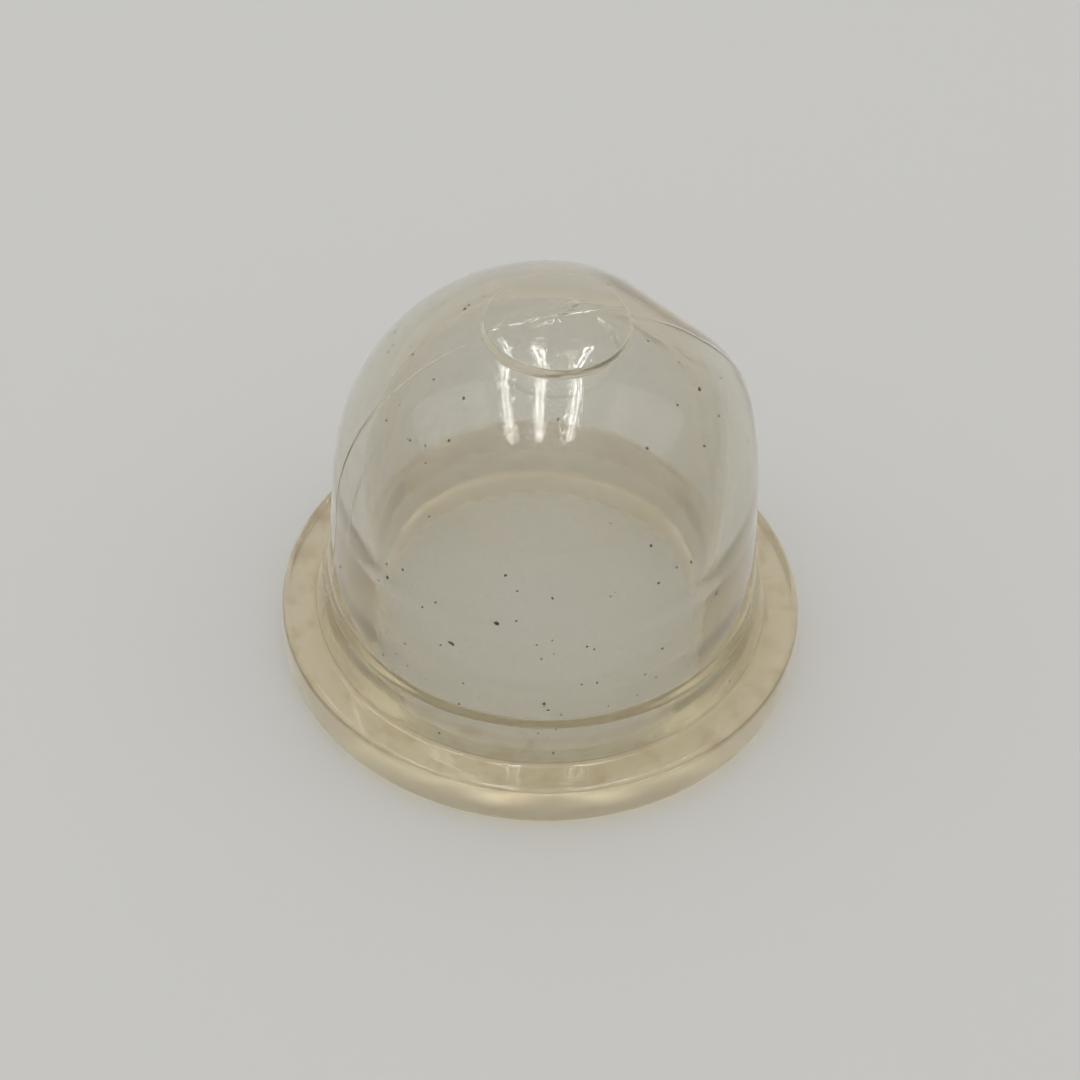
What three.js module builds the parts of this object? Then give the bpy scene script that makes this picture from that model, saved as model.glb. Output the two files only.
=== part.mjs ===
// Primer bulb: a clear, hollow squeeze bulb moulded in one piece, standing on its flange.
// Lengths are in millimetres and angles in degrees. +Z is up, +X to the right and +Y away from the front.
// The origin is the middle of the flange's underside, on the bulb's axis.
import * as THREE from 'three';

// Dome: a short tapered wall with a nearly round crown on it
const DOME_R = 8.72; // outside radius where the wall ends and the crown begins
const DOME_DRAFT = 0.28; // how much wider the wall is at its foot
const WALL_H = 4; // from the collar's step to the crown's first point
const CROWN_H = 9.2; // from there to the top, measured as if the pad weren't there
const CROWN_POWER = 0.915; // 1 would be an ellipse, and less is a little fuller
const WALL = 1.25; // thickness of wall and crown

// Collar: the thick band round the dome's foot
const COLLAR_H = 1.85; // from the flange's top face to the step
const COLLAR_STEP = 0.25; // how far its top stands out from the dome
const COLLAR_BLEND = 0.45; // height over which the step curves in
const COLLAR_DRAFT = 0.28; // how much wider it is at its foot
const COLLAR_FILLET = 0.22; // radius where it meets the flange

// Flange: the flat ring that a cover clamps on its seat
const FLANGE_T = 2;
const LEDGE = 1.47; // width of its top face, outside the collar
const RIM_EDGE = 0.3; // radius of its upper rim
const FOOT_EDGE = 0.35; // radius of its lower rim

// Mouth: the open underside
const MOUTH_DRAFT = 0.13; // how much wider the hollow is there than at the crown
const MOUTH_EDGE = 0.25; // radius of its edge

// Pad: the raised round button on the apex
const PAD_R = 3; // at its foot
const PAD_SLOPE = 0.22; // width of its steep edge
const PAD_RISE = 0.38; // height of that edge
const PAD_CROWN = 0.35; // how much its middle stands above the edge

// Shape as found: the far right shoulder is pressed in, the crown below it stands out,
// and the top leans to the right.
// Each place is an azimuth from +X towards +Y and a climb from the crown's first point.
const DENT = { azimuth: 45, climb: 43, reach: 8.5, push: -0.44 };
const BULGE = { azimuth: 16, climb: 26, reach: 10, push: 0.25 };
const LEAN = 0.2; // sideways shift of the apex
const LEAN_POWER = 6; // how much of that happens near the top

// Facets
const AROUND = 64; // round the axis
const CROWN_STEPS = 14; // up the outside of the crown
const HOLLOW_STEPS = 11; // up the inside of the crown
const ROUND_STEPS = 3; // on each rounded edge
const BLEND_STEPS = 4; // on the collar's step
const PAD_STEPS = 4; // on the pad's slope, and on its top

// Colour of the yellowed clear plastic
const CLEAR_YELLOWED = { color: 0xcdc4ad, roughness: 0.12, metalness: 0, transparent: true, opacity: 0.35 };

const collarTopR = DOME_R + DOME_DRAFT + COLLAR_STEP;
const collarFootR = collarTopR + COLLAR_DRAFT;
const flangeR = collarFootR + LEDGE;
const collarTopZ = FLANGE_T + COLLAR_H;
const wallFootZ = collarTopZ + COLLAR_BLEND;
const crownZ = wallFootZ + WALL_H;

const deg = THREE.MathUtils.degToRad;
const at = (r, z) => new THREE.Vector2(r, z);

// Points of a round edge: centre, radius, and the angles it runs between
function arc(r, z, radius, from, to) {
  return Array.from({ length: ROUND_STEPS + 1 }, (_, i) => {
    const a = deg(from + ((to - from) * i) / ROUND_STEPS);
    return at(r + radius * Math.cos(a), z + radius * Math.sin(a));
  });
}

// A point on a crown of the given radius and height, at a climb from 0 (its foot) to 90 (its top)
function onCrown(radius, height, climb) {
  const a = deg(climb);
  return at(radius * Math.cos(a) ** CROWN_POWER, crownZ + height * Math.sin(a) ** CROWN_POWER);
}

// The climb at which a crown has a given radius
function climbTo(radius, r) {
  return THREE.MathUtils.radToDeg(Math.acos((r / radius) ** (1 / CROWN_POWER)));
}

// The hollow: from its top on the axis down to the mouth's edge
function hollow() {
  const r = DOME_R - WALL;
  const crown = Array.from({ length: HOLLOW_STEPS }, (_, i) =>
    onCrown(r, CROWN_H - WALL, 90 * (1 - (i + 1) / HOLLOW_STEPS)));
  const mouthR = r + MOUTH_DRAFT;
  const edge = arc(mouthR + MOUTH_EDGE, MOUTH_EDGE, MOUTH_EDGE, 180, 270);
  return [at(0, crownZ + CROWN_H - WALL), ...crown, at(mouthR, collarTopZ), ...edge];
}

// The flange's rim and top face, from below up to the collar
function flange() {
  return [
    ...arc(flangeR - FOOT_EDGE, FOOT_EDGE, FOOT_EDGE, -90, 0),
    ...arc(flangeR - RIM_EDGE, FLANGE_T - RIM_EDGE, RIM_EDGE, 0, 90),
    ...arc(collarFootR + COLLAR_FILLET, FLANGE_T + COLLAR_FILLET, COLLAR_FILLET, 270, 180),
  ];
}

// The collar's step, which curves in from its top to the foot of the dome wall
function collar() {
  return Array.from({ length: BLEND_STEPS + 1 }, (_, i) => {
    const t = i / BLEND_STEPS;
    return at(collarTopR - (COLLAR_STEP * (1 - Math.cos(Math.PI * t))) / 2, collarTopZ + COLLAR_BLEND * t);
  });
}

// The outside of the crown, from the wall up to the pad's foot
function crown() {
  const last = climbTo(DOME_R, PAD_R);
  return Array.from({ length: CROWN_STEPS + 1 }, (_, i) =>
    onCrown(DOME_R, CROWN_H, (last * i) / CROWN_STEPS));
}

// The pad, from the crown over its sloping edge to the axis
function pad() {
  const footZ = onCrown(DOME_R, CROWN_H, climbTo(DOME_R, PAD_R)).y;
  const topR = PAD_R - PAD_SLOPE;
  const steps = Array.from({ length: PAD_STEPS }, (_, i) => (i + 1) / PAD_STEPS);
  const slope = steps.map((t) => at(PAD_R - PAD_SLOPE * t, footZ + PAD_RISE * Math.sin((Math.PI / 2) * t)));
  const top = steps.map((t) => at(topR * (1 - t), footZ + PAD_RISE + PAD_CROWN * (1 - (1 - t) ** 2)));
  return [...slope, ...top];
}

// How far a dent or bulge moves a point, seen from the crown's centre; it fades out smoothly
function moved(direction, { azimuth, climb, reach, push }) {
  const { x, y } = onCrown(DOME_R, CROWN_H, climb);
  const a = deg(azimuth);
  const middle = new THREE.Vector3(x * Math.cos(a), x * Math.sin(a), y - crownZ);
  return push * Math.exp(-0.5 * (direction.angleTo(middle) / deg(reach)) ** 2);
}

// The round shape as found: dented, bulged and leaning
function asFound(geometry) {
  const position = geometry.attributes.position;
  const centre = new THREE.Vector3(0, 0, crownZ);
  const point = new THREE.Vector3();
  for (let i = 0; i < position.count; i += 1) {
    point.fromBufferAttribute(position, i);
    const outward = point.clone().sub(centre);
    const height = Math.max(outward.z, 0);
    const push = moved(outward, DENT) + moved(outward, BULGE);
    point.addScaledVector(outward.normalize(), push);
    point.x += LEAN * (height / CROWN_H) ** LEAN_POWER;
    position.setXYZ(i, point.x, point.y, point.z);
  }
  geometry.computeVertexNormals();
  return geometry;
}

// The whole bulb: one section turned round the axis
function bulb() {
  const section = [...hollow(), ...flange(), ...collar(), ...crown(), ...pad()];
  const geometry = new THREE.LatheGeometry(section, AROUND).rotateX(Math.PI / 2);
  const mesh = new THREE.Mesh(asFound(geometry), new THREE.MeshStandardMaterial(CLEAR_YELLOWED));
  mesh.name = 'bulb';
  return mesh;
}

const primerBulb = new THREE.Group();
primerBulb.add(bulb());

export default primerBulb;
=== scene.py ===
# %% [markdown]
# A primer bulb is the clear dome that a finger presses to draw fuel into a small engine's carburettor. It
# is moulded in one piece, so there is one thing to make well: a clear wall that is looked at and looked
# through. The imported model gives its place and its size, and everything here is built in metres round the
# same axis.

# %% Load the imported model
import math
import random

import bmesh
import bpy
import numpy as np
from mathutils import Matrix, Vector


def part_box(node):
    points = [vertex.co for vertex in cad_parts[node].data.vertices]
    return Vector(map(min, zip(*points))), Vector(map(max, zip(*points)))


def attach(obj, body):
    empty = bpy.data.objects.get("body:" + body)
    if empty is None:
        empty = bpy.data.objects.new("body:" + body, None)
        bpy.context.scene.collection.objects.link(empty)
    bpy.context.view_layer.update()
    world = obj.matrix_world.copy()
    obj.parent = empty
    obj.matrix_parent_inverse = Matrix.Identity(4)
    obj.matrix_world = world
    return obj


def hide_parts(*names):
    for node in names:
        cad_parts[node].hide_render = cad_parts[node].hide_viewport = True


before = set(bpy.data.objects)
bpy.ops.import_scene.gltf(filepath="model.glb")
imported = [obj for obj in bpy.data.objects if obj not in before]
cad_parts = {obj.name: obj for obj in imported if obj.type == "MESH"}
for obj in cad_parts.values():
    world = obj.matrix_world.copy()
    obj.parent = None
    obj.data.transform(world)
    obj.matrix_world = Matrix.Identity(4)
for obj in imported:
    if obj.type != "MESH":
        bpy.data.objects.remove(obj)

MM = 0.001
low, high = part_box("bulb")
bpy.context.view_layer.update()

# %% [markdown]
# The camera decides which shapes matter, so it is made first. It can be guessed and nudged, or worked out
# from the outline: the ellipse of the flange gives how far it looks down, the lean of that ellipse gives
# its roll, and the difference in size between the near and the far rim gives its distance. The second way
# was used here. The picture is square, so the lens's field is the same both ways.

# %% Camera
LOOK_DOWN = math.radians(46.3)
ROLL = math.radians(2.37)
CAMERA_DISTANCE = 120 * MM
AIM = Vector((-0.12, 2.57, 2.45)) * MM
LENS = 92.6  # millimetres, as is the sensor
SENSOR = 36
NEAREST = 5 * MM


def make_camera():
    """A camera in front of the bulb, looking down at it."""
    data = bpy.data.cameras.new("camera")
    data.lens = LENS
    data.sensor_width = SENSOR
    data.clip_start = NEAREST
    camera = bpy.data.objects.new("camera", data)
    turn = Matrix.Rotation(math.pi / 2 - LOOK_DOWN, 4, "X") @ Matrix.Rotation(ROLL, 4, "Z")
    back = turn.to_3x3() @ Vector((0, 0, 1))
    camera.matrix_world = Matrix.Translation(AIM + back * CAMERA_DISTANCE) @ turn
    bpy.context.scene.collection.objects.link(camera)
    bpy.context.scene.camera = camera
    return camera


camera = make_camera()
print("camera at", [round(x / MM, 1) for x in camera.matrix_world.translation], "mm")

# %% [markdown]
# The bulb's shape is a section turned round an axis. A Screw modifier or bmesh's spin could turn it, but
# both give evenly spaced columns, and this bulb also carries a hair-thin parting seam that needs columns
# close together. So the section is written as a list of radius and height, and the columns are placed by
# hand where they are needed. The first half of the list is the outside, from the flange's underside up to
# the apex. The second half is the hollow, because a clear wall bends light at both of its faces.

# %% Sizes of the section
FLANGE_R = high.x
FLANGE_T = 2.0 * MM
RIM_EDGE = 0.3 * MM
FOOT_EDGE = 0.35 * MM
LEDGE = 1.47 * MM
COLLAR_DRAFT = 0.28 * MM
COLLAR_H = 1.85 * MM
COLLAR_FOOT_R = FLANGE_R - LEDGE
COLLAR_R = COLLAR_FOOT_R - COLLAR_DRAFT
COLLAR_Z = FLANGE_T + COLLAR_H
COLLAR_STEP = 0.25 * MM
COLLAR_BLEND = 0.45 * MM
COLLAR_FILLET = 0.22 * MM
WALL_FOOT_R = COLLAR_R - COLLAR_STEP
DOME_DRAFT = 0.28 * MM
DOME_R = WALL_FOOT_R - DOME_DRAFT
WALL_FOOT_Z = COLLAR_Z + COLLAR_BLEND
WALL_H = 4 * MM
CROWN_Z = WALL_FOOT_Z + WALL_H
CROWN_H = 9.2 * MM
CROWN_POWER = 0.915
WALL = 1.25 * MM
MOUTH_DRAFT = 0.13 * MM
MOUTH_R = DOME_R - WALL + MOUTH_DRAFT
MOUTH_EDGE = 0.25 * MM
PAD_R = 3.0 * MM
PAD_SLOPE = 0.22 * MM
PAD_RISE = 0.38 * MM
PAD_CROWN = 0.25 * MM
PAD_POWER = 3.5

print("dome radius %.2f mm, mouth radius %.2f mm" % (DOME_R / MM, MOUTH_R / MM))

# %% Helpers that give stretches of the section
EDGE_STEPS = 8
CROWN_STEPS = 84
COLLAR_STEPS = 8
BLEND_STEPS = 14
WALL_STEPS = 24
HOLLOW_STEPS = 40
SLOPE_STEPS = 12
PAD_STEPS = 30


def round_edge(r, z, radius, start, end):
    """Points of an arc about (r, z), between two angles in degrees."""
    angles = np.radians(np.linspace(start, end, EDGE_STEPS + 1))
    return [(r + radius * math.cos(a), z + radius * math.sin(a)) for a in angles]


def on_crown(radius, height, climb):
    """A point of a crown: climb 0 is its foot and climb 90 degrees its top."""
    return radius * math.cos(climb) ** CROWN_POWER, CROWN_Z + height * math.sin(climb) ** CROWN_POWER


def climb_to(radius, r):
    """The climb at which a crown of this radius is as narrow as r."""
    return math.acos((r / radius) ** (1 / CROWN_POWER))


def straight(start, end, steps):
    """Evenly spaced points from start up to, but not including, end."""
    return [tuple(p) for p in np.linspace(start, end, steps, endpoint=False)]


# %% The flange and the collar
def flange_section():
    """The flange's lower rim, upper rim and top face, as far as the collar's fillet."""
    rim = round_edge(FLANGE_R - FOOT_EDGE, FOOT_EDGE, FOOT_EDGE, -90, 0)
    rim += round_edge(FLANGE_R - RIM_EDGE, FLANGE_T - RIM_EDGE, RIM_EDGE, 0, 90)
    return rim + round_edge(COLLAR_FOOT_R + COLLAR_FILLET, FLANGE_T + COLLAR_FILLET, COLLAR_FILLET, 270, 180)


def collar_section():
    """The collar's sloping side, and the step that curves in to the foot of the wall."""
    side = straight((COLLAR_FOOT_R, FLANGE_T + COLLAR_FILLET), (COLLAR_R, COLLAR_Z), COLLAR_STEPS)[1:]
    for t in np.linspace(0, 1, BLEND_STEPS, endpoint=False):
        inward = COLLAR_STEP * (1 - math.cos(math.pi * t)) / 2
        side.append((COLLAR_R - inward, COLLAR_Z + COLLAR_BLEND * t))
    return side


print("flange and collar: %d points" % len(flange_section() + collar_section()))

# %% The dome and the pad
def dome_section():
    """The tapered wall, and the crown as far as the pad's foot."""
    wall = straight((WALL_FOOT_R, WALL_FOOT_Z), (DOME_R, CROWN_Z), WALL_STEPS)
    last = climb_to(DOME_R, PAD_R)
    return wall + [on_crown(DOME_R, CROWN_H, last * i / CROWN_STEPS) for i in range(CROWN_STEPS + 1)]


def pad_section(foot_z):
    """The pad's steep edge, and its top as far as the axis."""
    slope = [(PAD_R - PAD_SLOPE * t, foot_z + PAD_RISE * (1 - math.cos(math.pi * t)) / 2)
             for t in np.linspace(0, 1, SLOPE_STEPS + 1)[1:]]
    top_r, edge_z = PAD_R - PAD_SLOPE, foot_z + PAD_RISE
    top = [(top_r * (1 - t), edge_z + PAD_CROWN * (1 - (1 - t) ** PAD_POWER))
           for t in np.linspace(0, 1, PAD_STEPS + 1)[1:]]
    return slope + top


def outside():
    """From the mouth's lower edge, over the flange, collar and dome, to the middle of the pad."""
    dome = dome_section()
    return flange_section() + collar_section() + dome + pad_section(dome[-1][1])


print("the outside has %d points" % len(outside()))

# %% The hollow of the section
def hollow():
    """From the hollow's top on the axis down to the mouth's edge."""
    radius = DOME_R - WALL
    climbs = np.linspace(math.pi / 2, 0, CROWN_STEPS + 1)
    crown = [on_crown(radius, CROWN_H - WALL, a) for a in climbs[1:-1]]
    wall = straight((radius, CROWN_Z), (MOUTH_R, MOUTH_EDGE), HOLLOW_STEPS)
    edge = round_edge(MOUTH_R + MOUTH_EDGE, MOUTH_EDGE, MOUTH_EDGE, 180, 270)
    return [(0, CROWN_Z + CROWN_H - WALL)] + crown + wall + edge


print("the hollow has %d points" % len(hollow()))

# %% [markdown]
# The columns are evenly spaced all the way round, with a few more at the two sides where the parting seam
# runs up. Without them the seam would be as wide as a whole column and would look like a fold.

# %% Columns round the axis
COLUMNS = 192
SEAM_TURN = math.radians(16)
SEAM_SPREAD = (0.12, 0.26, 0.42, 0.62, 0.86, 1.15)  # degrees to either side of the seam
SEAM_CLEAR = 1.2  # even columns closer than this many spreads give way
TINY = 1e-9  # metres: anything nearer to the axis is on it


def columns():
    """The azimuths of the columns, with extra ones beside both ends of the seam."""
    even = [2 * math.pi * i / COLUMNS for i in range(COLUMNS)]
    for side in (SEAM_TURN, SEAM_TURN + math.pi):
        gap = math.radians(SEAM_SPREAD[-1]) * SEAM_CLEAR
        even = [a for a in even if abs(math.remainder(a - side, 2 * math.pi)) > gap]
        even += [side] + [side + math.radians(s * d) for d in SEAM_SPREAD for s in (-1, 1)]
    return np.array(sorted(a % (2 * math.pi) for a in even))


def turned(section, azimuths):
    """The section's points turned round the axis, and the numbers of each ring's points."""
    vertices, rings = [], []
    for r, z in section:
        if r < TINY:
            rings.append([len(vertices)])
            vertices.append((0, 0, z))
        else:
            rings.append(list(range(len(vertices), len(vertices) + len(azimuths))))
            vertices += [(r * math.cos(a), r * math.sin(a), z) for a in azimuths]
    return np.array(vertices), rings


def stitched(rings):
    """Faces between each ring and the next, all the way round the section, facing out."""
    faces = []
    for a, b in zip(rings, rings[1:] + rings[:1]):
        if len(a) == len(b) == 1:
            continue
        n = max(len(a), len(b))
        for i in range(n):
            j = (i + 1) % n
            if len(b) == 1:
                faces.append((a[i], a[j], b[0]))
            elif len(a) == 1:
                faces.append((a[0], b[j], b[i]))
            else:
                faces.append((a[i], a[j], b[j], b[i]))
    return faces


# %% Turn the section
azimuths = columns()
points, rings = turned(outside() + hollow(), azimuths)
faces = stitched(rings)
print("%d columns, %d points, %d faces" % (len(azimuths), len(points), len(faces)))

# %% [markdown]
# The real bulb isn't quite round. The far right shoulder is pressed in, the crown below it stands out a
# little, and the apex leans to the right. A sculpted mesh would do, but a few smooth pushes are easier to
# read and to change: each is a direction from the crown's centre, a reach, and how far it moves the wall.
# Both faces of the wall move.

# %% Dent, bulge and lean
DENT = {"azimuth": 45, "climb": 43, "reach": 8.5, "push": -0.44 * MM}
BULGE = {"azimuth": 16, "climb": 26, "reach": 10, "push": 0.25 * MM}
LEAN = 0.2 * MM
LEAN_POWER = 6


def pushed(outward, azimuth, climb, reach, push):
    """How far one push moves points that lie in these directions."""
    r, z = on_crown(DOME_R, CROWN_H, math.radians(climb))
    a = math.radians(azimuth)
    middle = np.array((r * math.cos(a), r * math.sin(a), z - CROWN_Z))
    angle = np.arccos(np.clip(outward @ (middle / np.linalg.norm(middle)), -1, 1))
    return push * np.exp(-0.5 * (angle / math.radians(reach)) ** 2)


def as_found(points):
    """The round shape, pushed out of true as the real one is."""
    spokes = points - np.array((0, 0, CROWN_Z))
    outward = spokes / np.linalg.norm(spokes, axis=1, keepdims=True)
    moved = points + outward * (pushed(outward, **DENT) + pushed(outward, **BULGE))[:, None]
    moved[:, 0] += LEAN * (np.maximum(spokes[:, 2], 0) / CROWN_H) ** LEAN_POWER
    return moved


print("two pushes and a lean of %.1f mm" % (LEAN / MM))

# %% [markdown]
# Where the two halves of the mould met, a seam runs up one side of the dome, over the pad and down the
# other side. It could be painted as a bump, but a bump on clear plastic bends no light where the surface
# is seen edge on. A real ridge does, so the columns by the seam are lifted a few hundredths of a
# millimetre.

# %% Parting seam
SEAM_HEIGHT = 0.025 * MM
SEAM_WIDTH = 0.06 * MM
SEAM_UNEVEN = 0.25
SEAM_WAVES = (0.31 * MM, 0.83 * MM, 0.57 * MM)  # how long its ripples are
SEAM_DRIFT, DRIFT_WAVE = 0.03 * MM, 0.9 * MM


def seam_lift(points):
    """Height of the ridge at each point of the outside, a little uneven along its length."""
    off = points[:, 0] * math.sin(SEAM_TURN) - points[:, 1] * math.cos(SEAM_TURN)
    along = points[:, 0] * math.cos(SEAM_TURN) + points[:, 1] * math.sin(SEAM_TURN)
    fast, slow, rising = SEAM_WAVES
    waves = np.sin(along / fast) * np.sin(along / slow + points[:, 2] / rising)
    drift = SEAM_DRIFT * np.sin(along / DRIFT_WAVE)
    ridge = np.exp(-(((off + drift) / SEAM_WIDTH) ** 2))
    return SEAM_HEIGHT * (1 - SEAM_UNEVEN + SEAM_UNEVEN * waves) * ridge


print("seam %.3f mm high and %.2f mm wide" % (SEAM_HEIGHT / MM, SEAM_WIDTH / MM))

# %% [markdown]
# The plastic was let in through the middle of the pad, and a trimmed-off scar is left there: a low flat
# patch with a torn edge. A sculpted patch or a bump would do for one view. A height worked out from a
# wavy oval is used here, because each of its three waves can be changed on its own.

# %% Gate scar
SCAR_PLACE = (-0.25 * MM, 0.1 * MM)
SCAR_TURN = math.radians(32)
SCAR_HALF_LENGTH, SCAR_HALF_WIDTH = 1.0 * MM, 0.4 * MM
SCAR_HEIGHT = 0.06 * MM
SCAR_STEEPNESS = 14
SCAR_TEARS = ((0.16, 3, 1), (0.12, 7, 0), (0.08, 13, 2))  # depth, waves round, starting angle


def scar_lift(points):
    """Height of the gate's scar: a low plateau with a torn outline."""
    x, y = points[:, 0] - SCAR_PLACE[0], points[:, 1] - SCAR_PLACE[1]
    along = (x * math.cos(SCAR_TURN) + y * math.sin(SCAR_TURN)) / SCAR_HALF_LENGTH
    across = (y * math.cos(SCAR_TURN) - x * math.sin(SCAR_TURN)) / SCAR_HALF_WIDTH
    angle = np.arctan2(across, along)
    torn = 1 + sum(depth * np.sin(count * angle + start) for depth, count, start in SCAR_TEARS)
    return SCAR_HEIGHT / (1 + np.exp((np.hypot(along, across) / torn - 1) * SCAR_STEEPNESS))


print("scar %.2f mm high" % (SCAR_HEIGHT / MM))

# %% Lift the seam and the scar
PAD_SHARE = 0.9  # the pad lies above this share of the crown

outer_count = sum(len(ring) for ring in rings[: len(outside())])
outer = points[:outer_count]
on_dome = outer[:, 2] > FLANGE_T + COLLAR_FILLET
near_pad = outer[:, 2] > CROWN_Z + CROWN_H * PAD_SHARE
sideways = outer.copy()
sideways[:, 2] = np.maximum(outer[:, 2] - CROWN_Z, 0)
sideways /= np.maximum(np.linalg.norm(sideways, axis=1, keepdims=True), TINY)
lift = seam_lift(outer) * on_dome
points[:outer_count] = outer + sideways * lift[:, None]
points[:outer_count, 2] += scar_lift(outer) * near_pad
points = as_found(points)
print("the seam stands out by up to %.3f mm" % (lift.max() / MM))

# %% [markdown]
# The points and faces are now known, so the mesh is made from them in one step. Building it face by face
# in bmesh gives the same shell more slowly. Smooth shading is enough, because nearly every edge is a small
# round of its own.

# %% Make the mesh
def make_bulb():
    """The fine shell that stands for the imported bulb."""
    mesh = bpy.data.meshes.new("bulb_shell")
    mesh.from_pydata([tuple(p) for p in points], [], faces)
    mesh.polygons.foreach_set("use_smooth", [True] * len(mesh.polygons))
    mesh.validate()
    mesh.update()
    shell = bpy.data.objects.new("bulb_shell", mesh)
    bpy.context.scene.collection.objects.link(shell)
    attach(shell, "root")
    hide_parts("bulb")
    return shell


bulb = make_bulb()
print("bulb shell:", len(bulb.data.polygons), "faces")

# %% [markdown]
# The plastic is clear polyurethane gone a little yellow. A tint painted on the surface would colour thin
# and thick places alike, but on the real bulb thick places are yellower. A Volume Absorption does that by
# itself: light loses its blue with every millimetre that it travels in the wall. Lamps would throw no
# light through a glassy shader, so shadow rays see a plain transparent one. The helpers come first: most
# of them give one value that varies.

# %% A new material
def new_material(name):
    """An empty node material and its output."""
    material = bpy.data.materials.new(name)
    material.use_nodes = True
    material.node_tree.nodes.clear()
    return material, material.node_tree.nodes.new("ShaderNodeOutputMaterial")


print("materials so far:", len(bpy.data.materials))

# %% Helpers for values that vary
NOISE_RANGE = (0.3, 0.7)  # nearly all of a noise lies between these
BUMP_DEPTH = 0.02 * MM
FLANGE_END, DOME_START = FLANGE_T - 0.1 * MM, FLANGE_T + 0.5 * MM


def noise(nodes, links, scale, detail, low_value, high_value):
    """A noise in object space, spread between two values."""
    place = nodes.new("ShaderNodeTexCoord")
    texture = nodes.new("ShaderNodeTexNoise")
    texture.inputs["Scale"].default_value = scale
    texture.inputs["Detail"].default_value = detail
    spread = nodes.new("ShaderNodeMapRange")
    spread.inputs["From Min"].default_value, spread.inputs["From Max"].default_value = NOISE_RANGE
    spread.inputs["To Min"].default_value = low_value
    spread.inputs["To Max"].default_value = high_value
    links.new(place.outputs["Object"], texture.inputs["Vector"])
    links.new(texture.outputs["Fac"], spread.inputs["Value"])
    return spread.outputs["Result"]


def by_height(nodes, links, low_value, high_value, start=FLANGE_END, end=DOME_START):
    """One value low down and another high up, blended between two heights."""
    place = nodes.new("ShaderNodeTexCoord")
    split = nodes.new("ShaderNodeSeparateXYZ")
    share = nodes.new("ShaderNodeMapRange")
    share.inputs["From Min"].default_value = start
    share.inputs["From Max"].default_value = end
    share.inputs["To Min"].default_value = low_value
    share.inputs["To Max"].default_value = high_value
    links.new(place.outputs["Object"], split.inputs["Vector"])
    links.new(split.outputs["Z"], share.inputs["Value"])
    return share.outputs["Result"]


# %% Helpers that join values
def blended(nodes, links, factor, *colours):
    """A mix of two colours, each either plain numbers or another node's output."""
    mix = nodes.new("ShaderNodeMix")
    mix.data_type = "RGBA"
    for socket, colour in zip((mix.inputs[6], mix.inputs[7]), colours):
        if isinstance(colour, tuple):
            socket.default_value = colour
        else:
            links.new(colour, socket)
    links.new(factor, mix.inputs["Factor"])
    return mix.outputs[2]


def bumped(nodes, links, height, strength):
    """A normal tilted by an uneven height."""
    bump = nodes.new("ShaderNodeBump")
    bump.inputs["Strength"].default_value = strength
    bump.inputs["Distance"].default_value = BUMP_DEPTH
    links.new(height, bump.inputs["Height"])
    return bump.outputs["Normal"]


def times(nodes, links, a, b):
    """The product of two outputs."""
    product = nodes.new("ShaderNodeMath")
    product.operation = "MULTIPLY"
    links.new(a, product.inputs[0])
    links.new(b, product.inputs[1])
    return product.outputs["Value"]


# %% [markdown]
# Handling has worn the flange: it is more satin than the dome, a little browner, and stained low down.
# Painting a mask by hand would need the surface laid flat, and these changes go by height alone, so
# height is the mask. The dome is nearly clear, with a fine grain in its tint.

# %% Tint and stains
DOME_TINT = (0.81, 0.81, 0.805, 1)
DOME_GRAIN = (0.76, 0.76, 0.755, 1)
GRAIN_SCALE, GRAIN_DETAIL = 5000, 3
FLANGE_TINT = (0.72, 0.675, 0.60, 1)
STAIN = (0.42, 0.30, 0.18, 1)
STAIN_SCALE, STAIN_DETAIL, STAIN_RANGE = 900, 5, (-0.7, 0.5)


def stained_tint(nodes, links):
    """The tint of the surface: grained on the dome, browner on the flange, with stains low down."""
    grain = noise(nodes, links, GRAIN_SCALE, GRAIN_DETAIL, 0, 1)
    dome = blended(nodes, links, grain, DOME_TINT, DOME_GRAIN)
    tint = blended(nodes, links, by_height(nodes, links, 0, 1), FLANGE_TINT, dome)
    low_down = by_height(nodes, links, 1, 0, FLANGE_T, WALL_FOOT_Z)
    blots = noise(nodes, links, STAIN_SCALE, STAIN_DETAIL, *STAIN_RANGE)
    stained = times(nodes, links, blots, low_down)
    return blended(nodes, links, stained, tint, STAIN)


print("dome tint", DOME_TINT[:3], "flange tint", FLANGE_TINT[:3])

# %% [markdown]
# The three lamps show on the crown as sharp streaks with wavy edges, over a softer glow. One roughness
# can't give both. So the plastic has two skins: a satin one that wavers slowly, and a thin glossy coat,
# which is pebbled on the crown and smooth on the walls. A sheen stands for the film of dust that pales
# the wall seen edge on.

# %% Roughness and unevenness
ROUGH_DOME, ROUGH_FLANGE = 0.06, 0.12
ROUGH_SCALE, ROUGH_DETAIL, ROUGH_SPREAD = 900, 3, (0.8, 1.2)
WAVY_SCALE, WAVY_STRENGTH = 1400, 0.07
WAVY_DETAIL = 2
PEBBLE_SCALE, PEBBLE_STRENGTH = 2800, 0.3
WALL_PEBBLES = 0.15


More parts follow.
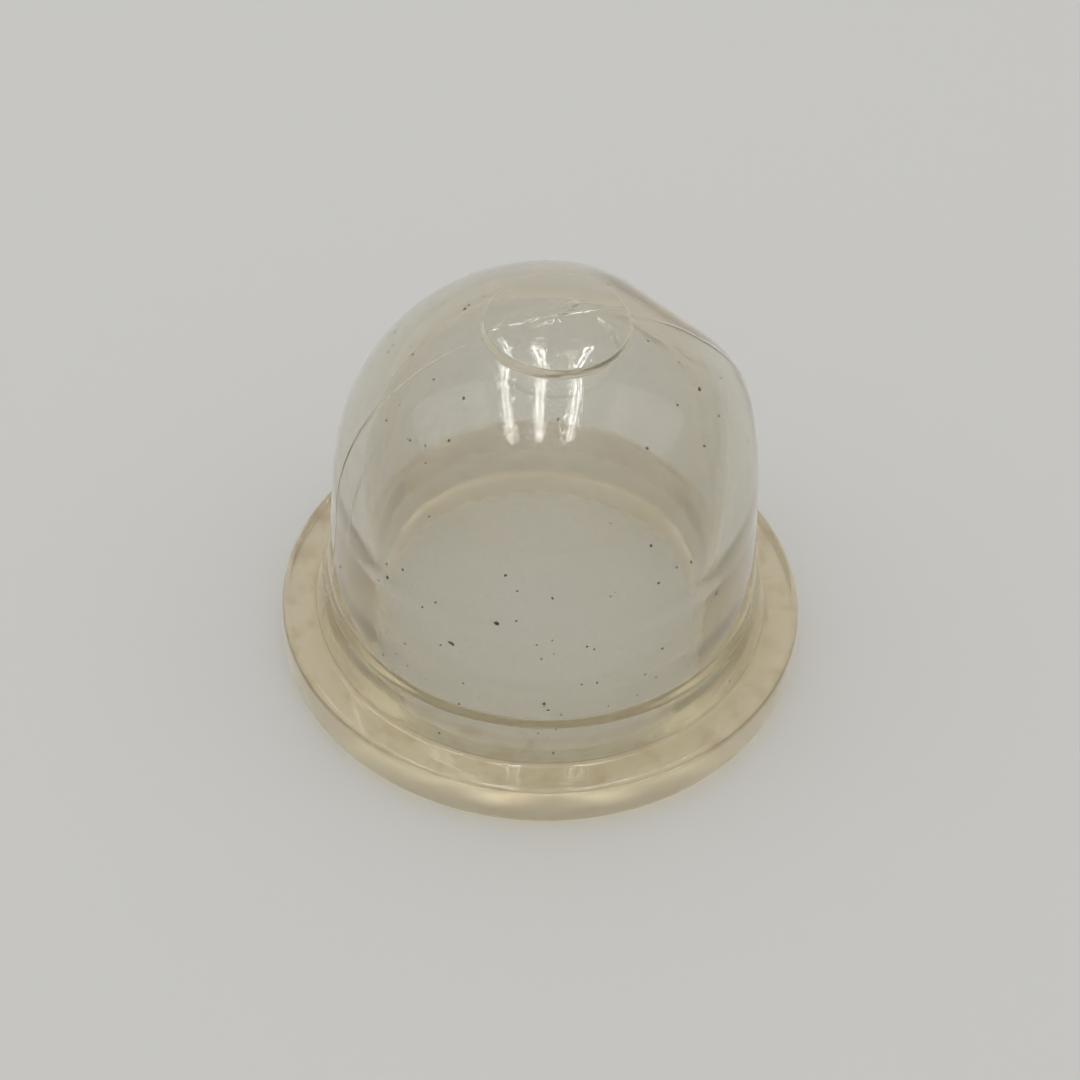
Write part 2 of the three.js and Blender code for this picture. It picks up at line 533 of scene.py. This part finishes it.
def uneven_surface(nodes, links, shader):
    """A satin skin that wavers, and normals for it and for the coat."""
    spread = noise(nodes, links, ROUGH_SCALE, ROUGH_DETAIL, *ROUGH_SPREAD)
    satin = by_height(nodes, links, ROUGH_FLANGE, ROUGH_DOME)
    links.new(times(nodes, links, satin, spread), shader.inputs["Roughness"])
    wavy = noise(nodes, links, WAVY_SCALE, WAVY_DETAIL, 0, 1)
    links.new(bumped(nodes, links, wavy, WAVY_STRENGTH), shader.inputs["Normal"])
    on_crown_only = by_height(nodes, links, WALL_PEBBLES, 1, CROWN_Z, CROWN_Z + CROWN_H / 2)
    pebbles = noise(nodes, links, PEBBLE_SCALE, WAVY_DETAIL, 0, 1)
    pebbled = times(nodes, links, pebbles, on_crown_only)
    links.new(bumped(nodes, links, pebbled, PEBBLE_STRENGTH), shader.inputs["Coat Normal"])


print("roughness", ROUGH_DOME, "on the dome and", ROUGH_FLANGE, "on the flange")

# %% Glassy skin
PLASTIC_IOR = 1.5
PLASTIC_SPECULAR = 0.25
CLEAR_DOME, CLEAR_FLANGE = 0.94, 0.88
COAT, COAT_ROUGHNESS = 0.8, 0.02
DUST_SHEEN, SHEEN_ROUGHNESS = 0.2, 0.4
DUST_TINT = (1, 0.95, 0.85, 1)


def glassy_skin(nodes, links):
    """The surface shader: clear, coated, tinted and faintly dusty."""
    shader = nodes.new("ShaderNodeBsdfPrincipled")
    shader.inputs["IOR"].default_value = PLASTIC_IOR
    shader.inputs["Specular IOR Level"].default_value = PLASTIC_SPECULAR
    shader.inputs["Coat Weight"].default_value = COAT
    shader.inputs["Coat Roughness"].default_value = COAT_ROUGHNESS
    shader.inputs["Sheen Weight"].default_value = DUST_SHEEN
    shader.inputs["Sheen Roughness"].default_value = SHEEN_ROUGHNESS
    shader.inputs["Sheen Tint"].default_value = DUST_TINT
    links.new(stained_tint(nodes, links), shader.inputs["Base Color"])
    clear = by_height(nodes, links, CLEAR_FLANGE, CLEAR_DOME)
    links.new(clear, shader.inputs["Transmission Weight"])
    uneven_surface(nodes, links, shader)
    return shader.outputs["BSDF"]


print("refractive index", PLASTIC_IOR)

# %% Yellowed clear plastic
YELLOWING = (0.8, 0.68, 0.2, 1)
YELLOWING_DENSITY = 105  # per metre of plastic
SHADOW_TINT = (1, 1, 0.99, 1)


def clear_for_shadows(nodes, links, skin):
    """The skin, which shadow rays pass through as if it were a thin clear film."""
    through = nodes.new("ShaderNodeBsdfTransparent")
    through.inputs["Color"].default_value = SHADOW_TINT
    path = nodes.new("ShaderNodeLightPath")
    mix = nodes.new("ShaderNodeMixShader")
    links.new(path.outputs["Is Shadow Ray"], mix.inputs["Fac"])
    links.new(skin, mix.inputs[1])
    links.new(through.outputs["BSDF"], mix.inputs[2])
    return mix.outputs["Shader"]


def clear_plastic():
    """Clear plastic that yellows with thickness, glossy and slightly uneven."""
    material, output = new_material("clear_plastic")
    nodes, links = material.node_tree.nodes, material.node_tree.links
    skin = glassy_skin(nodes, links)
    links.new(clear_for_shadows(nodes, links, skin), output.inputs["Surface"])
    absorb = nodes.new("ShaderNodeVolumeAbsorption")
    absorb.inputs["Color"].default_value = YELLOWING
    absorb.inputs["Density"].default_value = YELLOWING_DENSITY
    links.new(absorb.outputs["Volume"], output.inputs["Volume"])
    return material


bulb.data.materials.append(clear_plastic())
print("plastic density", YELLOWING_DENSITY, "per metre")

# %% [markdown]
# Dark specks of dust cling to the bulb. Painted specks would be smeared over the whole thickness of the
# clear wall, so each one is a tiny lump of its own that sits on the outside. The ones that stand out are
# listed one by one, each by its azimuth, its height and its size. The finest are scattered at random, from a
# fixed seed, so that they never move.

# %% Places of the dust
BIG_SPECKS = {
    "left shoulder": (161, 16.8, 0.2), "left crown": (-156, 14.4, 0.14), "above the seam": (-175, 15.8, 0.14),
    "front crown": (-134, 16.3, 0.18), "right crown": (-13, 15.4, 0.27), "right below": (-29, 14.3, 0.18),
    "left wall": (-134, 9.2, 0.24), "left of the middle": (-122, 8.8, 0.14), "middle": (-101, 9.3, 0.28),
    "largest": (-113, 7.5, 0.36), "beside the largest": (-116, 7.2, 0.16), "right wall": (-37, 8.0, 0.2),
    "right of the middle": (-59, 12.3, 0.16), "low right": (-52, 10.9, 0.13), "low middle": (-88, 5.1, 0.18),
    "front left collar": (-110, 4.3, 0.16), "right collar": (-33, 2.6, 0.18), "behind": (70, 11.0, 0.2),
}
FINE_SPECKS = 220
FINE_SIZE = (0.07, 0.16)
FINE_HEIGHTS = (2.6, 17.0)
SPECK_SEED = 7


def speck_places():
    """Azimuth in degrees, height and size in millimetres of every speck."""
    draw = random.Random(SPECK_SEED)
    places = list(BIG_SPECKS.values())
    for _ in range(FINE_SPECKS):
        places.append((draw.uniform(-180, 180), draw.uniform(*FINE_HEIGHTS), draw.uniform(*FINE_SIZE)))
    return places


print(len(BIG_SPECKS), "specks by hand and", FINE_SPECKS, "at random")

# %% [markdown]
# Each speck is a small icosphere, flattened and made lumpy. A particle system could scatter them, but it
# wouldn't put the large ones where they belong. So a level line is drawn from outside towards the axis,
# and the speck is set where that line meets the bulb, turned to the surface and sunk a little into it.

# %% One speck
SPECK_FLATNESS = 0.4
SPECK_SINK = 0.3
SPECK_TURN = 6.28  # radians: any way round
SPECK_BREADTH = (0.5, 1)
SPECK_LUMPS = (0.7, 1.15)


def add_speck(mesh, shell, azimuth, height, size, draw):
    """One flattened, lumpy speck, where a level line from outside meets the bulb."""
    a = math.radians(azimuth)
    outward = Vector((math.cos(a), math.sin(a), 0))
    start = outward * 2 * FLANGE_R + Vector((0, 0, height * MM))
    hit, place, normal, _ = shell.ray_cast(start, -outward)
    if not hit:
        return
    half = size * MM / 2
    spin = Matrix.Rotation(draw.uniform(0, SPECK_TURN), 4, "Z")
    turn = normal.to_track_quat("Z", "Y").to_matrix().to_4x4() @ spin
    shape = Matrix.Diagonal((half, half * draw.uniform(*SPECK_BREADTH), half * SPECK_FLATNESS, 1))
    sink = Matrix.Translation(place - normal * half * SPECK_FLATNESS * SPECK_SINK)
    lump = bmesh.ops.create_icosphere(mesh, subdivisions=1, radius=1)
    for vertex in lump["verts"]:
        vertex.co = sink @ turn @ shape @ (vertex.co * draw.uniform(*SPECK_LUMPS))


print("specks are", SPECK_FLATNESS, "times as thick as they are wide")

# %% Brown of the dust
DUST_DARK = (0.035, 0.028, 0.02, 1)
DUST_PALE = (0.16, 0.12, 0.08, 1)
DUST_SCALE, DUST_DETAIL = 6000, 2
DUST_ROUGHNESS = 0.9


def dust_brown():
    """Dull dark grime, paler in places."""
    material, output = new_material("dust_brown")
    nodes, links = material.node_tree.nodes, material.node_tree.links
    shader = nodes.new("ShaderNodeBsdfPrincipled")
    shade = noise(nodes, links, DUST_SCALE, DUST_DETAIL, 0, 1)
    links.new(blended(nodes, links, shade, DUST_DARK, DUST_PALE), shader.inputs["Base Color"])
    shader.inputs["Roughness"].default_value = DUST_ROUGHNESS
    links.new(shader.outputs["BSDF"], output.inputs["Surface"])
    return material


# %% Make the dust
def make_dust(shell):
    """All the specks as one piece."""
    draw = random.Random(SPECK_SEED + 1)
    mesh = bmesh.new()
    for azimuth, height, size in speck_places():
        add_speck(mesh, shell, azimuth, height, size, draw)
    data = bpy.data.meshes.new("dust_specks")
    mesh.to_mesh(data)
    mesh.free()
    data.materials.append(dust_brown())
    dust = bpy.data.objects.new("dust_specks", data)
    bpy.context.scene.collection.objects.link(dust)
    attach(dust, "root")
    return dust


bpy.context.view_layer.update()
dust = make_dust(bulb)
print("dust:", len(dust.data.polygons), "faces")

# %% [markdown]
# The bulb stands on a plain pale floor, which is looked at through the plastic too. A curved backdrop
# would do as well, but a wide flat plane has no bend that could show in the dome. It lies a hair under
# the flange, so that the two faces don't meet in one plane and flicker.

# %% Floor
FLOOR_SIZE = 3
FLOOR_GAP = 0.01 * MM
FLOOR_GREY = (0.53, 0.53, 0.525, 1)
FLOOR_ROUGHNESS = 0.8


def make_floor():
    """A large pale floor just under the flange."""
    bpy.ops.mesh.primitive_plane_add(size=FLOOR_SIZE, location=(0, 0, low.z - FLOOR_GAP))
    floor = bpy.context.object
    floor.name = "floor"
    material, output = new_material("pale_floor")
    nodes, links = material.node_tree.nodes, material.node_tree.links
    shader = nodes.new("ShaderNodeBsdfPrincipled")
    shader.inputs["Base Color"].default_value = FLOOR_GREY
    shader.inputs["Roughness"].default_value = FLOOR_ROUGHNESS
    links.new(shader.outputs["BSDF"], output.inputs["Surface"])
    floor.data.materials.append(material)
    return floor


floor = make_floor()
print("floor at %.2f mm" % (floor.location.z / MM))

# %% [markdown]
# Three lamps show in the crown and again in the pad as short bright double streaks, so each lamp has two
# tubes. Bright shapes in a picture of the room could give them too, but area lamps can be moved and read
# as what they are. Where the streaks lie tells where the lamps hung: overhead, side by side, and running
# from front to back.

# %% Lamps
LAMP_HEIGHT = 0.4
LAMP_GAP = 0.108
LAMPS_X = -0.035
LAMP_NEAR, LAMP_FAR = -0.178, 0.27
TUBE_GAP = 0.016
TUBE_WIDTH = 0.004
TUBE_POWER = 0.09  # watts, as is that of the side lights


def area_lamp(name, place, size, power, aim=(0, 0, 0)):
    """A rectangular lamp of the given size and power, turned to the aim."""
    data = bpy.data.lights.new(name, "AREA")
    data.shape = "RECTANGLE"
    data.size, data.size_y = size
    data.energy = power
    lamp = bpy.data.objects.new(name, data)
    lamp.location = place
    lamp.rotation_euler = (Vector(aim) - Vector(place)).to_track_quat("-Z", "Y").to_euler()
    bpy.context.scene.collection.objects.link(lamp)
    return lamp


def hang_lamps():
    """Three lamps side by side, each of two tubes that run front to back."""
    y = (LAMP_NEAR + LAMP_FAR) / 2
    for i in (-1, 0, 1):
        for side in (-1, 1):
            x = LAMPS_X + i * LAMP_GAP + side * TUBE_GAP / 2
            name = "tube_%d%s" % (i + 2, "ab"[side > 0])
            area_lamp(name, (x, y, LAMP_HEIGHT), (TUBE_WIDTH, LAMP_FAR - LAMP_NEAR), TUBE_POWER, (x, y, 0))


hang_lamps()
print("three lamps", round(LAMP_FAR - LAMP_NEAR, 3), "m long")

# %% [markdown]
# A clear thing is seen by what it bends and mirrors, and under lamps alone its sides would be dark. Two
# large weak lights, one at each side, put a pale edge on the flanks. Stronger or nearer ones would show
# as hard white patches.

# %% Soft lights at both sides
SIDE_X, SIDE_Z = 0.365, 0.335
SIDE_SIZE = (0.25, 0.35)
SIDE_POWER = 0.1

for side in (-1, 1):
    area_lamp("side_%s" % "lr"[side > 0], (side * SIDE_X, 0, SIDE_Z), SIDE_SIZE, SIDE_POWER)
print("two soft side lights")

# %% [markdown]
# The wall seen edge on mirrors what is far off and low down, so the colour there sets the tone of the
# dome's outline and of the collar's line. A single grey all round leaves them cold and flat. So the light
# around is a ramp by height: warm and dimmer at the horizon, as in a room, and pale overhead.

# %% Soft light all round
WORLD_LEVEL = 1.2
SKY = {
    0: (0.49, 0.44, 0.37, 1),
    0.4: (0.53, 0.51, 0.48, 1),
    0.75: (0.54, 0.54, 0.53, 1),
    0.95: (0.85, 0.85, 0.83, 1),
}


def set_stops(stops, colours):
    """Give a colour ramp these colours, each at its place."""
    stops.remove(stops[-1])
    first, *others = colours
    stops[0].position, stops[0].color = first, colours[first]
    for place in others:
        stops.new(place).color = colours[place]


def make_world():
    """Pale light from overhead that grows dimmer and warmer towards the horizon."""
    world = bpy.data.worlds.new("soft_light")
    world.use_nodes = True
    nodes, links = world.node_tree.nodes, world.node_tree.links
    background = nodes["Background"]
    place = nodes.new("ShaderNodeTexCoord")
    split = nodes.new("ShaderNodeSeparateXYZ")
    ramp = nodes.new("ShaderNodeValToRGB")
    set_stops(ramp.color_ramp.elements, SKY)
    links.new(place.outputs["Generated"], split.inputs["Vector"])
    links.new(split.outputs["Z"], ramp.inputs["Fac"])
    links.new(ramp.outputs["Color"], background.inputs["Color"])
    background.inputs["Strength"].default_value = WORLD_LEVEL
    bpy.context.scene.world = world
    print("sky stops", [(round(e.position, 2), round(e.color[0], 2)) for e in ramp.color_ramp.elements])


make_world()
print("world level", WORLD_LEVEL)

# %% [markdown]
# Light crosses four faces of clear wall on its way to the floor and back, and more at the edges. With too
# few bounces those places go black, and without refractive caustics the floor under the dome gets no
# light from around. Reflective caustics would only add noise, so they stay off. Standard colours are
# used, with no film look.

# %% Light through the clear wall
MAX_BOUNCES, CLEAR_BOUNCES, GLOSSY_BOUNCES = 32, 24, 16

bpy.context.scene.view_settings.view_transform = "Standard"
cycles = bpy.context.scene.cycles
cycles.caustics_reflective = False
cycles.caustics_refractive = True
cycles.max_bounces = MAX_BOUNCES
cycles.transmission_bounces = CLEAR_BOUNCES
cycles.glossy_bounces = GLOSSY_BOUNCES
print("up to", cycles.max_bounces, "bounces")
